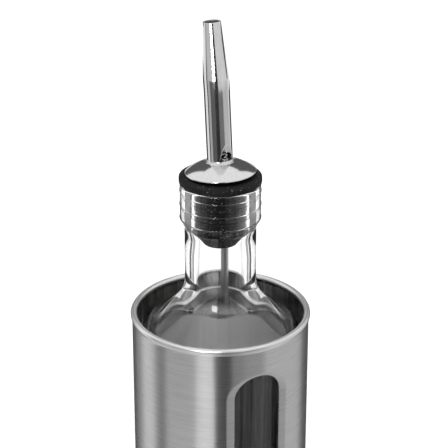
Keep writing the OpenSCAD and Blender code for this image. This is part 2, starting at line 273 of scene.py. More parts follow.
# %% The inside of the sleeve
def inside_steel(name, shaded_band_low, shaded_band_high):
    """Dull rolled steel, burnished shiny where the rim's tool has run, and painted dark there as the
    shade just under the rim. Upright drawing streaks are strong deep in the sleeve and fade on the way
    up to that band."""
    material, tree, shader, place = new_material(name)
    streaks = group(tree, STRETCHED, Vector=place, Across=420.0, Along=9.0, Detail=4.0, Contrast=2.2)
    wide = group(tree, STRETCHED, Vector=place, Across=170.0, Along=4.0, Detail=3.0, Contrast=2.6)
    marks = group(tree, HANDLING, Vector=place, Patch_Pitch=50.0, Speck_Pitch=900.0, Speck_Share=0.05)
    height = add(tree, "ShaderNodeSeparateXYZ", {0: place}).outputs["Z"]
    # The band just under the rim is shinier, and its grey is painted dark as shade.
    shiny_shaded_band = ramp(tree, height, shaded_band_low, shaded_band_high)
    full_streaks, faint_streaks = shaded_band_low - 40 * MM, shaded_band_low - 15 * MM
    deep = ramp(tree, height, full_streaks, faint_streaks, 1.0, 0.02, way="LINEAR")
    both = mix(tree, streaks["Mask"], wide["Mask"], 0.3)
    streaky = maths(tree, "MULTIPLY", maths(tree, "SUBTRACT", both, 0.5), deep)
    dull_grey, streak_gain, darkest, lightest = 0.80, 3.2, 0.10, 0.96
    dull = maths(tree, "MULTIPLY_ADD", streaky, streak_gain, dull_grey)
    dull = maths(tree, "MAXIMUM", maths(tree, "MINIMUM", dull, lightest), darkest)
    # In the band the grey drops to painted shade, with the drawing streaks in it.
    grey = between(tree, shiny_shaded_band, dull, between(tree, streaks["Mask"], 0.20, 0.62))
    dull_rough = between(tree, marks["Patches"], 0.46, 0.56)
    rough = between(tree, shiny_shaded_band, dull_rough, between(tree, streaks["Mask"], 0.14, 0.30))
    grey_surface(tree, shader, grey, rough, streaks["Mask"], 0.0015 * MM)
    fixed(shader, Metallic=1.0)
    return material


# The band of painted shade and shine lies 17 to 10 mm below the rim's top.
ROLLED = inside_steel("rolled_steel_inside", sleeve_top - 17 * MM, sleeve_top - 10 * MM)
steels = (BRUSHED, RIM, ROLLED, POLISHED, INSIDE_TIP, DRAWN, PRESSED)
print("steels:", [material.name for material in steels])

# %% [markdown]
# ## Rubber and foam
# Rubber is dark and a little shiny, and it catches dust. The cork, the foot and the cushion share one
# recipe with their own grain: a pebbled bump, patches in the roughness and a few pale specks. On the
# cork, faint upright streaks of painted reflection are added to the grey.


# %% Rubber materials
def rubber(name, grey, rough, grain_pitch, grain_depth, speck_grey, streak_sheen_grey=0.0):
    """Dark rubber. grey and rough are (least, most). Upright streaks added to the grey are a painted
    reflection, not a mark in the rubber.
    """
    material, tree, shader, place = new_material(name)
    noise_layer = group(tree, STRETCHED, Vector=place, Across=1500.0, Along=60.0, Detail=2.0, Contrast=3.0)
    grain = add(tree, "ShaderNodeTexNoise", {"Vector": place, "Scale": grain_pitch, "Detail": 4.0})
    marks = group(tree, HANDLING, Vector=place, Patch_Pitch=160.0, Speck_Pitch=1300.0, Speck_Share=0.22)
    body = between(tree, marks["Patches"], *grey)
    # Faint upright streaks lightened into the grey: a painted reflection of streaky light.
    with_streak_sheen = maths(tree, "MULTIPLY_ADD", noise_layer["Mask"], streak_sheen_grey, body)
    dusted = maths(tree, "MULTIPLY_ADD", marks["Specks"], speck_grey, with_streak_sheen)
    matt = between(tree, marks["Patches"], *rough)
    grey_surface(tree, shader, dusted, matt, grain.outputs[0], grain_depth)
    fixed(shader, Specular_IOR_Level=0.16)
    return material


# The cork's last value paints faint upright streaks of reflection into its grey.
CORK_RUBBER = rubber("pourer_rubber", (0.002, 0.008), (0.42, 0.66), 1500.0, 0.020 * MM, 0.20, 0.006)
FOOT_RUBBER = rubber("pad_rubber", (0.030, 0.060), (0.60, 0.80), 1100.0, 0.060 * MM, 0.05)
FOAM = rubber("cushion_foam", (0.030, 0.050), (0.75, 0.95), 2400.0, 0.120 * MM, 0.04)
print("rubbers:", [material.name for material in (CORK_RUBBER, FOOT_RUBBER, FOAM)])

# %% [markdown]
# ## Glass
# The bottle is pressed and blown flint glass. Its walls are true walls here, so light bends as it does
# in the real bottle, and the dark lines at its edges come from the room and not from paint.
# A mould leaves the surface slightly wavy, which a weak and wide bump gives.


# %% Glass material
def glass(name, ior, wave_pitch, wave_depth):
    """Clear glass with a slightly wavy face. Its waves are three times as long upright."""
    material, tree, shader, place = new_material(name)
    waves = group(tree, STRETCHED, Vector=place, Across=wave_pitch, Along=wave_pitch / 3, Detail=1.0,
                  Contrast=1.0)
    noise_layer = group(tree, HANDLING, Vector=place, Patch_Pitch=90.0, Speck_Pitch=900.0, Speck_Share=0.04)
    haze = between(tree, noise_layer["Patches"], 0.0, 0.03)
    rough_and_bumped(tree, shader, haze, waves["Mask"], wave_depth)
    fixed(shader, Base_Color=(0.985, 0.985, 0.985, 1.0), Transmission_Weight=1.0, IOR=ior)
    return material


GLASS = glass("clear_glass", 1.5, 70.0, 0.03 * MM)
print("glass:", GLASS.name, "with", len(GLASS.node_tree.nodes), "nodes")

# %% [markdown]
# ## Turning with Geometry Nodes
# Seven of the nine pieces are turned: one outline swept round the axis. The tree takes the outline as
# a chain of points, lays a grid with one row per point and one column per step, and turns each column
# about Z. Ribs and moulded rings are a rule in the same tree, which lifts the radius near each rib,
# so their number and height stay inputs and no rib is drawn by hand.


# %% The turning tree
def finish_tree(tree, geometry, material, out):
    """The last nodes of each tree: real geometry, with its material set."""
    real = add(tree, "GeometryNodeRealizeInstances", {"Geometry": geometry})
    dressed = add(tree, "GeometryNodeSetMaterial", {"Geometry": real.outputs[0], "Material": material})
    tree.links.new(dressed.outputs[0], out["Geometry"])
    return tree


def turning_tree():
    """Turns an outline about Z, and lifts its radius at each rib."""
    tree, given, out = new_group(
        "Turned Piece", "GeometryNodeTree",
        {"Outline": "NodeSocketGeometry", "Steps": 192, "Rib Count": 1, "First Rib": 0.0,
         "Rib Pitch": 1.0, "Rib Height": 0.0, "Rib Width": 1.0, "Ribs Beyond": 0.0,
         "Material": "NodeSocketMaterial"},
        {"Geometry": "NodeSocketGeometry"},
    )
    outline, steps, pitch, width = [given[name] for name in
                                    ("Outline", "Steps", "Rib Pitch", "Rib Width")]
    size = add(tree, "GeometryNodeAttributeDomainSize", {"Geometry": outline}, component="MESH")
    rows = size.outputs["Point Count"]
    columns = maths(tree, "ADD", steps, 1)
    grid = add(tree, "GeometryNodeMeshGrid", {"Vertices X": columns, "Vertices Y": rows})
    index = add(tree, "GeometryNodeInputIndex").outputs[0]
    row = add(tree, "FunctionNodeIntegerMath", {0: index, 1: rows}, operation="MODULO").outputs[0]
    column = add(tree, "FunctionNodeIntegerMath", {0: index, 1: rows}, operation="DIVIDE").outputs[0]
    sample = add(tree, "GeometryNodeSampleIndex", {"Geometry": outline, "Index": row},
                 data_type="FLOAT_VECTOR", domain="POINT")
    tree.links.new(add(tree, "GeometryNodeInputPosition").outputs[0], sample.inputs["Value"])
    point = add(tree, "ShaderNodeSeparateXYZ", {0: sample.outputs["Value"]}).outputs
    along = maths(tree, "DIVIDE", maths(tree, "SUBTRACT", point["Z"], given["First Rib"]), pitch)
    last = maths(tree, "SUBTRACT", given["Rib Count"], 1)
    nearest = maths(tree, "MAXIMUM", maths(tree, "MINIMUM", maths(tree, "ROUND", along), last), 0.0)
    away = maths(tree, "ABSOLUTE", maths(tree, "SUBTRACT", along, nearest))
    rise = ramp(tree, maths(tree, "MULTIPLY", away, pitch), maths(tree, "DIVIDE", width, 8.0),
                maths(tree, "DIVIDE", width, 2.0), given["Rib Height"], 0.0)
    outside = maths(tree, "GREATER_THAN", point["X"], given["Ribs Beyond"])
    radius = maths(tree, "MULTIPLY_ADD", rise, outside, point["X"])
    angle = maths(tree, "MULTIPLY", maths(tree, "DIVIDE", column, steps), 2 * math.pi)
    flat = add(tree, "ShaderNodeCombineXYZ", {"X": radius, "Z": point["Z"]}).outputs[0]
    turned = add(tree, "ShaderNodeVectorRotate", {"Vector": flat, "Angle": angle},
                 rotation_type="Z_AXIS").outputs[0]
    placed = add(tree, "GeometryNodeSetPosition",
                 {"Geometry": grid.outputs["Mesh"], "Position": turned}).outputs[0]
    closed = add(tree, "GeometryNodeMergeByDistance", {"Geometry": placed, "Distance": 1e-7})
    smooth = add(tree, "GeometryNodeSetShadeSmooth", {"Geometry": closed.outputs[0]})
    return finish_tree(tree, smooth.outputs[0], given["Material"], out)


TURNING = turning_tree()
print("tree:", TURNING.name, "with", len(TURNING.nodes), "nodes")


# %% Outlines: arcs, rounded corners and even spacing
def arc(r, z, radius, start, stop, steps=10):
    """Points of an arc round (r, z), with its angles in degrees."""
    return [(r + radius * math.cos(math.radians(a)), z + radius * math.sin(math.radians(a)))
            for a in np.linspace(start, stop, steps + 1)]


def rounded(corners, closed=False, steps=7):
    """A line through corners (r, z, round). A corner's round is the radius of its fillet."""
    line = []
    for i, (r, z, radius) in enumerate(corners):
        here = Vector((r, z))
        if not radius:
            line.append((r, z))
            continue
        before = (Vector(corners[i - 1][:2]) - here).normalized()
        after = (Vector(corners[(i + 1) % len(corners)][:2]) - here).normalized()
        half = before.angle(after) / 2
        centre = here + (before + after).normalized() * (radius / math.sin(half))
        first = here + before * (radius / math.tan(half)) - centre
        last = here + after * (radius / math.tan(half)) - centre
        turn = first.angle_signed(last)
        start = math.atan2(first.y, first.x)
        for k in range(steps + 1):
            angle = start - turn * k / steps
            line.append((centre.x + radius * math.cos(angle), centre.y + radius * math.sin(angle)))
    return line + line[:1] if closed else line


def even(line, longest):
    """The same line with its long pieces cut up, so that ribs and finishes have points to work on."""
    cut = [line[0]]
    for (r0, z0), (r1, z1) in zip(line, line[1:]):
        parts = max(1, math.ceil(math.hypot(r1 - r0, z1 - z0) / longest))
        cut += [(r0 + (r1 - r0) * k / parts, z0 + (z1 - z0) * k / parts) for k in range(1, parts + 1)]
    return cut


def finer(line, bottom, height, longest, beyond=0.0):
    """The same line with short steps between two heights, where its radius is beyond the given one."""
    cut = [line[0]]
    for a, b in zip(line, line[1:]):
        z = np.linspace(a[1], b[1], max(2, math.ceil(abs(b[1] - a[1]) / longest) + 1))
        inside = [v for v in z[1:-1] if bottom <= v <= bottom + height and min(a[0], b[0]) > beyond]
        share = [(v - a[1]) / (b[1] - a[1]) for v in inside]
        cut += [(a[0] + (b[0] - a[0]) * s, v) for s, v in zip(share, inside)] + [b]
    return cut


# %% Turning a piece and settling it as a plain mesh
def new_object(name, data):
    """A new object at the origin of the scene."""
    made = bpy.data.objects.new(name, data)
    bpy.context.scene.collection.objects.link(made)
    return made


def mesh_object(name, points, edges=(), faces=()):
    """A new object with a mesh made from points."""
    mesh = bpy.data.meshes.new(name)
    mesh.from_pydata(points, edges, faces)
    return new_object(name, mesh)


def settle(piece):
    """The evaluated mesh takes the place of the modifiers, as the frame calls need it."""
    depsgraph = bpy.context.evaluated_depsgraph_get()
    made = bpy.data.meshes.new_from_object(piece.evaluated_get(depsgraph))
    piece.modifiers.clear()
    piece.data = made
    made.name = piece.name
    return piece


def run_tree(piece, tree, inputs):
    """Runs a Geometry Nodes tree on a piece, with its inputs set by identifier."""
    modifier = piece.modifiers.new(tree.name, "NODES")
    modifier.node_group = tree
    for item in tree.interface.items_tree:
        if item.name in inputs:
            modifier[item.identifier] = inputs[item.name]
    return settle(piece)


def signed_volume(mesh):
    """The volume, which is positive where the faces point outwards, and the number of open edges."""
    work = bmesh.new()
    work.from_mesh(mesh)
    volume = work.calc_volume(signed=True)
    open_edges = sum(not edge.is_manifold for edge in work.edges)
    work.free()
    return volume, open_edges


def turn(name, line, material, **inputs):
    """A turned piece from its outline, which runs anticlockwise with the radius to the right."""
    piece = mesh_object(name, [(r, 0, z) for r, z in line], [(i, i + 1) for i in range(len(line) - 1)])
    return run_tree(piece, TURNING, {"Material": material, **spaced(inputs)})


def place(piece, body, slot, *nodes):
    """Hangs a finished piece on its body, hides the CAD nodes it stands for and prints its sizes."""
    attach(piece, body)
    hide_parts(*nodes)
    volume, open_edges = signed_volume(piece.data)
    print(f"{piece.name}: {len(piece.data.polygons)} faces, {volume / MM ** 3:.0f} mm3,",
          f"{open_edges} open edges, on {body}")
    return piece


# %% [markdown]
# ## Foot pad, base and cushion
# The foot of the sleeve is out of the picture. It is made as such sleeves are: a pressed steel cup
# closes the tube, a rubber disc under it stands on the table, and a soft cup inside carries the glass.

# %% The foot of the sleeve
sleeve_wall = 0.7 * MM
rim_proud = 0.55 * MM
tube_r = reach("steel_sleeve") - rim_proud
bore_r = tube_r - sleeve_wall
foot_r = reach("foot_pad")
foot_top = top("foot_pad")
foot_edge = 0.5 * MM
foot_line = rounded([
    (0, 0, 0), (foot_r, 0, foot_edge), (foot_r, foot_top, foot_edge / 3), (0, foot_top, 0),
])
foot = turn("rubber_foot", even(foot_line, 3 * MM), FOOT_RUBBER, Steps=128)
place(foot, "sleeve", "foot_rubber", "foot_pad")

base_t = 0.8 * MM
base_low, base_over = low("sleeve_base"), top("sleeve_base")
base_edge = 0.2 * MM
base_line = rounded([
    (0, base_over - base_t, 0), (bore_r - base_t, base_over - base_t, base_t),
    (bore_r - base_t, base_low, base_edge), (bore_r, base_low, base_edge),
    (bore_r, base_over, base_t * 2), (0, base_over, 0),
])
base = turn("pressed_base", even(base_line, 3 * MM), PRESSED, Steps=128)
place(base, "sleeve", "base_steel", "sleeve_base")

cushion_r = reach("bottle_cushion")
cushion_low, cushion_top = low("bottle_cushion"), top("bottle_cushion")
glass_body_r = reach("glass_bottle")
heel_gap = 0.3 * MM
cup_r = glass_body_r + heel_gap
cup_round = (cushion_r - cup_r) / 2
cup_lip_round = cup_round * 0.98
cushion_line = rounded([
    (0, cushion_low, 0), (cushion_r, cushion_low, cup_round), (cushion_r, cushion_top, cup_lip_round),
    (cup_r, cushion_top, cup_lip_round), (cup_r, bottle_z, cup_round), (0, bottle_z, 0),
])
cushion = turn("soft_cup", even(cushion_line, 2 * MM), FOAM, Steps=128)
place(cushion, "sleeve", "cushion_foam", "bottle_cushion")

# %% [markdown]
# ## The glass bottle
# Bottle glass is thick, 3 mm here, and both of its faces matter, because each bends the light.
# So the outline runs up the outside, over the lip and down the inside. The shoulder is a slope between
# two fillets. The three moulded rings on the mouth are ribs of the turning tree.

# %% The glass bottle
glass_wall = 3 * MM
glass_floor = 6 * MM
heel_r = 5 * MM
punt_h = 1.6 * MM
shoulder_drop = 10.5 * MM
shoulder_r = 7 * MM
shoulder_slope = math.radians(40)
neck_r = 13.4 * MM
neck_bore_r = 9.25 * MM
neck_fillet_r = 14 * MM
mouth_r = 15 * MM
mouth_bore_r = 9.9 * MM
mouth_h = 14.2 * MM
lip_round = (mouth_r - mouth_bore_r) / 6
ring_h = 0.3 * MM
ring_pitch = 5.25 * MM
nose_low = low("cork")
nose_h = 5.6 * MM


def shoulder(wall_r, corner_r, neck, fillet_r):
    """The corners of one face of the shoulder: body, slope and neck."""
    half_turn = (math.pi / 2 - shoulder_slope) / 2
    corner_z = sleeve_top - shoulder_drop + corner_r * math.tan(half_turn)
    neck_z = corner_z + (wall_r - neck) * math.tan(shoulder_slope)
    return [(wall_r, corner_z, corner_r), (neck, neck_z, fillet_r)]


mouth_low = lip_z - mouth_h
mouth_step = mouth_r - neck_r
punt_r = glass_body_r - 2 * heel_r
punt_ball_r = (punt_r ** 2 + punt_h ** 2) / (2 * punt_h)
punt_tilt = math.degrees(math.asin(punt_r / punt_ball_r))
body_bore_r = glass_body_r - glass_wall
floor_z = bottle_z + glass_floor
punt = arc(0, bottle_z + punt_h - punt_ball_r, punt_ball_r, 90, 90 - punt_tilt, 8)
walls = rounded([
    (punt_r, bottle_z, 0), (glass_body_r, bottle_z, heel_r),
    *shoulder(glass_body_r, shoulder_r, neck_r, neck_fillet_r),
    (neck_r, mouth_low - mouth_step * 2, mouth_step), (mouth_r, mouth_low, mouth_step / 2),
    (mouth_r, lip_z, lip_round), (mouth_bore_r, lip_z, lip_round),
    (mouth_bore_r, nose_low + nose_h, 40 * MM), (neck_bore_r, nose_low - lip_round, 60 * MM),
    *reversed(shoulder(body_bore_r, shoulder_r - glass_wall, neck_bore_r, neck_fillet_r - glass_wall)),
    (body_bore_r, floor_z, heel_r), (0, floor_z + punt_h / 2, 0),
], steps=14)
ring_w = 0.55 * MM
soft_ring_h = 0.2 * MM
bottle_line = finer(even(punt + walls[1:], 5 * MM), mouth_low, mouth_h - lip_round, ring_w / 6,
                    mouth_r - ring_h)
bottle = turn("clear_bottle", bottle_line, GLASS, Steps=192, Rib_Count=3,
              First_Rib=mouth_low + 1.5 * ring_h, Rib_Pitch=ring_pitch, Rib_Height=soft_ring_h,
              Rib_Width=ring_w, Ribs_Beyond=mouth_r - ring_h / 3)
print("bottle outline:", len(bottle_line), "points")
place(bottle, "bottle", "clear_glass", "glass_bottle")

# %% [markdown]
# ## The rubber cork
# The flange lies on the lip, the ribs grip the mouth, and the nose is tapered so that it finds its way
# in. The ribs are the tree's ribs again, on a core that is a little slimmer than the bore.

# %% The cork
seat_gap = 0.1 * MM
cork_seat = lip_z + seat_gap
flange_r = reach("cork")
flange_side_h = 2 * MM
flange_slope_h = 1.1 * MM
flange_top = cork_seat + flange_side_h + flange_slope_h
boss_top = top("cork")
dome_r = reach("dome_collar")
rib_h = 0.45 * MM
rib_count = 4
press_gap = 0.05 * MM
core_r = mouth_bore_r - press_gap - rib_h
nose_r = 6.5 * MM
nose_top = nose_low + nose_h
stem_bore_r = 4.8 * MM
boss_r = dome_r * 0.74
rib_pitch = (cork_seat - nose_top) / (rib_count + 0.5)
soft = 0.35 * MM
cork_line = rounded([
    (stem_bore_r, nose_low, soft), (nose_r, nose_low, nose_h / 4),
    (core_r, nose_top - rib_pitch / 4, soft), (core_r, cork_seat, soft / 2),
    (flange_r, cork_seat, soft), (flange_r, cork_seat + flange_side_h, soft),
    (dome_r + soft, flange_top, soft * 2), (boss_r + soft * 2, flange_top, soft),
    (boss_r, boss_top, soft), (stem_bore_r, boss_top, soft / 2),
], closed=True)
cork = turn("rubber_cork", even(cork_line, 0.25 * MM), CORK_RUBBER, Steps=160, Rib_Count=rib_count,
            First_Rib=cork_seat - rib_count * rib_pitch, Rib_Pitch=rib_pitch, Rib_Height=rib_h,
            Rib_Width=rib_pitch / 2, Ribs_Beyond=core_r - rib_h / 3)
place(cork, "stopper", "cork_rubber", "cork")

# %% [markdown]
# ## The steel sleeve
# The sleeve is one sheet: a tube with a rolled rim, and a window slot whose edge is pressed flat so
# that it lies against the glass. A boolean would cut the slot but leave long thin faces that spoil a
# brushed reflection. So the faces are laid as rings round the slot, which run out into the tube's
# rows, and every point's depth comes from one rule: the nearer of the round tube and the flat.

# %% Sleeve sizes
slot_r = 9.25 * MM
slot_low_z = 26 * MM + slot_r
slot_top_z = sleeve_top - 12.7 * MM - slot_r
flat_half_w = slot_r + 3.1 * MM
flat_y = math.sqrt(tube_r ** 2 - flat_half_w ** 2)
run_out_h = slot_r + 0.9 * MM
run_out_r = (run_out_h ** 2 + (tube_r - flat_y) ** 2) / (2 * (tube_r - flat_y))
crease = 0.16 * MM
cut_round = 0.16 * MM
rim_roll_r = 1.2 * MM
rim_z = sleeve_top - rim_roll_r
rim_ring_r = tube_r + rim_proud - rim_roll_r
sleeve_low = low("steel_sleeve")
patch_half_w = tube_r / 2
patch_over = 14 * MM
slot_h = slot_top_z - slot_low_z + 2 * slot_r
print("window in mm:", round(2 * slot_r / MM, 1), "x", round(slot_h / MM, 1))


def smooth_least(a, b, width):
    """The lesser of a and b, with the corner between them rounded over the given width."""
    share = np.clip(0.5 + 0.5 * (b - a) / width, 0, 1)
    return b * (1 - share) + a * share - width * share * (1 - share)


def front_y(x, z, sink):
    """How far the sleeve's front stands from the axis, sink below its outer face."""
    over = np.clip(np.maximum(slot_low_z - z, z - slot_top_z), 0, run_out_r * 0.9)
    pressed = flat_y + run_out_r - np.sqrt((run_out_r + sink) ** 2 - over ** 2)
    return smooth_least(np.sqrt((tube_r - sink) ** 2 - x ** 2), pressed, crease)


# %% Rings round the slot
side_rows = 56
corner = math.degrees(math.atan2(patch_over, patch_half_w))
half_arc = np.concatenate([np.linspace(0, corner, 11)[:-1], np.linspace(corner, 180 - corner, 25)[:-1],
                           np.linspace(180 - corner, 180, 11)])


def loop(half_w, over, square=False):
    """A closed line round the slot: straight sides, and ends that are round or square."""
    points = [(half_w, z) for z in np.linspace(slot_low_z, slot_top_z, side_rows + 1)[:-1]]
    for centre_z, sign in ((slot_top_z, 1), (slot_low_z, -1)):
        for a in np.radians(half_arc):
            c, s = math.cos(a), math.sin(a)
            fit = min(half_w / max(abs(c), 1e-9), over / max(s, 1e-9)) if square else None
            x, rise = (c * fit, s * fit) if square else (half_w * c, over * s)
            points.append((sign * x, centre_z + sign * rise))
        if sign == 1:
            points += [(-half_w, z) for z in np.linspace(slot_top_z, slot_low_z, side_rows + 1)[1:-1]]
    return np.array(points[:-1])


slot_edge = loop(slot_r + cut_round, slot_r + cut_round)
crease_line = loop(flat_half_w, run_out_h)
patch_edge = loop(patch_half_w, patch_over, square=True)
beside = [(1 - u, u, 0) for u in (0, 0.12, 0.3, 0.5, 0.66, 0.77, 0.85, 0.91, 0.96)]
beyond = [(0, 1 - v, v) for v in (0, 0.015, 0.035, 0.06, 0.1, 0.17, 0.3, 0.5, 0.75, 1)]
shares = beside + beyond
print("rings round the slot:", len(shares), "on each face, with", len(slot_edge), "points each")


def skin(share, sink):
    """One ring on the outer face or, with sink, on the inner one, where the tube is narrower."""
    flat = share[0] * slot_edge + share[1] * crease_line + share[2] * patch_edge
    x = flat[:, 0] * (1 - share[2] * sink / tube_r)
    return np.stack([x, -front_y(x, flat[:, 1], sink), flat[:, 1]], axis=1)


def cut_edge(angle, side):
    """One ring of the rounded cut edge. side is 0 at the outer face and 1 at the inner one."""
    step = cut_round * (1 - math.sin(math.radians(angle)))
    depth = cut_round * (1 - math.cos(math.radians(angle))) / sleeve_wall
    depth = abs(side - depth)
    x, z = loop(slot_r + step, slot_r + step).T
    y = front_y(x, z, 0) * (1 - depth) + front_y(x, z, sleeve_wall) * depth
    return np.stack([x, -y, z], axis=1)


outer_rings = [skin(share, 0) for share in reversed(shares)]
edge_steps = (22.5, 45, 67.5, 90)
edge_rings = [cut_edge(a, 0) for a in edge_steps] + [cut_edge(a, 1) for a in reversed(edge_steps)]
inner_rings = [skin(share, sleeve_wall) for share in shares]
patch = np.array(outer_rings + edge_rings + inner_rings)

# %% Rows of the tube, its rolled rim and its lower edge
border_top = patch_edge[:, 1].max()
border_low = patch_edge[:, 1].min()
on_right = patch_edge[np.abs(patch_edge[:, 0] - patch_half_w) < 1e-9]
row_z = np.sort(on_right[:, 1])
front_x = np.sort(patch_edge[np.abs(patch_edge[:, 1] - border_top) < 1e-9][:, 0])
front_angles = np.arcsin(front_x / tube_r)
patch_angle = front_angles[-1]
back_angles = np.linspace(patch_angle, 2 * math.pi - patch_angle, 121)
round_angles = np.concatenate([front_angles, back_angles[1:]])
roll_wrap = math.degrees(math.asin(0.9))
roll_start, roll_end = 14 - roll_wrap, 190 + roll_wrap
under_roll_out, under_roll_in = rim_z - 1.35 * MM, rim_z - 1.5 * MM
rim_line = (
    [(tube_r, border_top)] + even([(tube_r, border_top + 1 * MM), (tube_r, under_roll_out)], 1 * MM)
    + arc(rim_ring_r, rim_z, rim_roll_r, roll_start, roll_end, 40)
    + even([(bore_r, under_roll_in), (bore_r, border_top)], 1 * MM)
)
foot_edge_line = (
    even([(bore_r, border_low), (bore_r, sleeve_low + cut_round)], 2 * MM)
    + rounded([(bore_r, sleeve_low + cut_round, 0), (bore_r, sleeve_low, cut_round),
               (tube_r, sleeve_low, cut_round), (tube_r, sleeve_low + cut_round, 0)], steps=4)[1:-1]
    + even([(tube_r, sleeve_low + cut_round), (tube_r, border_low)], 2 * MM)
)


def round_the_tube(angles, line):
    """The points that a line of (r, z) makes when it turns through the angles, from the front."""
    r, z = np.array(line).T
    a = np.array(angles)[:, None]
    return np.stack([r * np.sin(a), -r * np.cos(a), np.broadcast_to(z, (len(a), len(z)))], axis=2)


blocks = [
    np.swapaxes(np.concatenate([patch, patch[:, :1]], axis=1), 0, 1),
    round_the_tube(round_angles, rim_line),
    round_the_tube(round_angles, foot_edge_line),
    round_the_tube(back_angles, [(tube_r, z) for z in row_z]),
    round_the_tube(back_angles, [(bore_r, z) for z in row_z[::-1]]),
]
print("points in the sleeve's blocks:", [block.shape[0] * block.shape[1] for block in blocks])


# %% Stitch the blocks into one closed sheet
def stitch(name, blocks, materials):
    """Joins grids of points that share borders. The materials are for outside, inside and rim."""
    work = bmesh.new()
    for points in blocks:
        grid = [[work.verts.new(point) for point in column] for column in points]
        for left, right in zip(grid, grid[1:]):
            for k in range(len(left) - 1):
                work.faces.new((left[k], right[k], right[k + 1], left[k + 1])).smooth = True
    bmesh.ops.remove_doubles(work, verts=work.verts, dist=2e-6)
    work.normal_update()
    for face in work.faces:
        middle = face.calc_center_median()
        faces_axis = face.normal.xy.dot(middle.xy.normalized()) < -0.3
        face.material_index = 2 if middle.z > rim_z - rim_roll_r else int(faces_axis)
    mesh = bpy.data.meshes.new(name)
    work.to_mesh(mesh)
    work.free()
    for material in materials:
        mesh.materials.append(material)
    return new_object(name, mesh)


sleeve = stitch("brushed_sleeve", blocks, [BRUSHED, ROLLED, RIM])
place(sleeve, "sleeve", "sleeve_steel", "steel_sleeve")

# %% [markdown]
# ## The dome
# The dome is a thin pressed cap. It leans with the spout, so it is turned upright first and then tipped
# in its mesh. A small fillet of solder closes the corner between dome and spout.

# %% Where the pourer stands
pour_turn = math.radians(12)
spout_lean = math.radians(4)
spout_r = 4.75 * MM
spout_wall = 0.6 * MM
crown_r = 20.8 * MM
dome_wall = 0.6 * MM
dome_gap = 0.3 * MM
dome_hole_r = spout_r + press_gap
dome_rise = flange_top + dome_gap + dome_r * math.sin(spout_lean)
on_spout = (Matrix.Rotation(pour_turn, 4, "Z") @ Matrix.Translation((0, 0, boss_top))
            @ Matrix.Rotation(-spout_lean, 4, "X"))
dome_sink = (boss_top - dome_rise) / math.cos(spout_lean)
crown_drop = math.sqrt(crown_r ** 2 - dome_r ** 2)
hole_z = math.sqrt(crown_r ** 2 - dome_hole_r ** 2)
dome_top = hole_z - crown_drop - dome_sink


def crown_angle(r, ball_r):
    """How steeply a point at radius r lies above the middle of its ball, in degrees."""
    return math.degrees(math.acos(r / ball_r))


# %% The dome
solder_r = 0.7 * MM
dome_edge = dome_wall / 2
inner_ball_r = crown_r - dome_wall
rim_angle = crown_angle(dome_r - dome_edge / 3, crown_r) - 0.6
rim_x, rim_y = math.cos(math.radians(rim_angle)), math.sin(math.radians(rim_angle))
dome_line = (
    arc(0, 0, crown_r, rim_angle, crown_angle(dome_hole_r + solder_r, crown_r), 30)
    + arc(dome_hole_r + solder_r, hole_z + solder_r, solder_r, 262, 180, 8)
    + [(dome_hole_r, math.sqrt(inner_ball_r ** 2 - dome_hole_r ** 2))]
    + arc(0, 0, inner_ball_r, crown_angle(dome_hole_r, inner_ball_r), rim_angle, 24)[1:]
    + arc((crown_r - dome_edge) * rim_x, (crown_r - dome_edge) * rim_y, dome_edge,
          rim_angle + 180, rim_angle + 360, 8)[1:]
)
dome = turn("dome", dome_line, POLISHED, Steps=160)
dome.data.transform(on_spout @ Matrix.Translation((0, 0, -dome_sink - crown_drop)))
place(dome, "spout", "polished_steel", "dome_collar")

# %% [markdown]
# ## The spout
# The spout starts as a straight tube, with its wall, its taper and its rounded tip turned in one go.
# Then the air notch is pressed into its foot, as a slanting punch would do it, and at last the tube is
# bent along its centre line. Working on the straight tube first keeps each step a simple rule.

# %% The straight tube
tip_r = 3.3 * MM
stem_low = nose_low + spout_wall
low_h = 30.4 * MM
mid_h = 4.2 * MM
taper_h = 20.8 * MM
notch_low = dome_top - dome_wall
taper_low = boss_top + low_h + mid_h
tip_z = taper_low + taper_h
lip = spout_wall * 0.45
tube_line = rounded([
    (spout_r - spout_wall, stem_low, lip), (spout_r, stem_low, lip), (spout_r, taper_low, 12 * MM),
    (tip_r, tip_z, lip), (tip_r - spout_wall, tip_z, lip), (spout_r - spout_wall, taper_low, 12 * MM),
], closed=True, steps=8)
notch_r = 3.1 * MM
notch_slant = math.radians(28)
vent_off = 2.5 * MM
vent_r = 1.4 * MM
notch_half = notch_r / math.cos(notch_slant)
notch_off = vent_off - vent_r - 0.2 * MM + notch_half
notch_h = (spout_r + notch_half - notch_off) / math.tan(notch_slant) + 1 * MM
notch_lip = 0.45 * MM
fine_low = boss_top + notch_low - 1.5 * MM
fine = finer(even(tube_line, 1.5 * MM), fine_low, notch_h + 2 * MM, 0.13 * MM)
spout = turn("polished_spout", fine, POLISHED, Steps=224)
print("straight tube:", len(fine), "rows")


# %% Press the air notch
def dent(x, height, grow):
    """How far back the punch reaches at a point beside the middle and above the notch's floor."""
    side = np.clip(np.abs(x) / (notch_r + grow), 0, 0.999)
    centre = -notch_off - height * math.tan(notch_slant)
    back = centre + (notch_r + grow) / math.cos(notch_slant) * np.sqrt(1 - side ** 2)
    return np.where(np.abs(x) < notch_r + grow, back, -1)


def press_notch(mesh):
    """Pushes the front of the tube back to the punch's face, and gives the number of points moved."""
    points = np.zeros(len(mesh.vertices) * 3)
    mesh.vertices.foreach_get("co", points)
    points = points.reshape(-1, 3)
    x, y, z = points.T
    inner = np.hypot(x, y) < spout_r - spout_wall / 2
    grow = np.where(inner, spout_wall, 0)
    height = z - boss_top - notch_low
    pushed = -smooth_least(-y, -dent(x, height, grow), notch_lip)
    pressed = (y < 0) & (height > -grow) & (np.abs(x) < notch_r + grow)
    points[:, 1] = np.where(pressed, np.maximum(y, pushed), y)
    mesh.vertices.foreach_set("co", points.ravel())
    return int(pressed.sum())


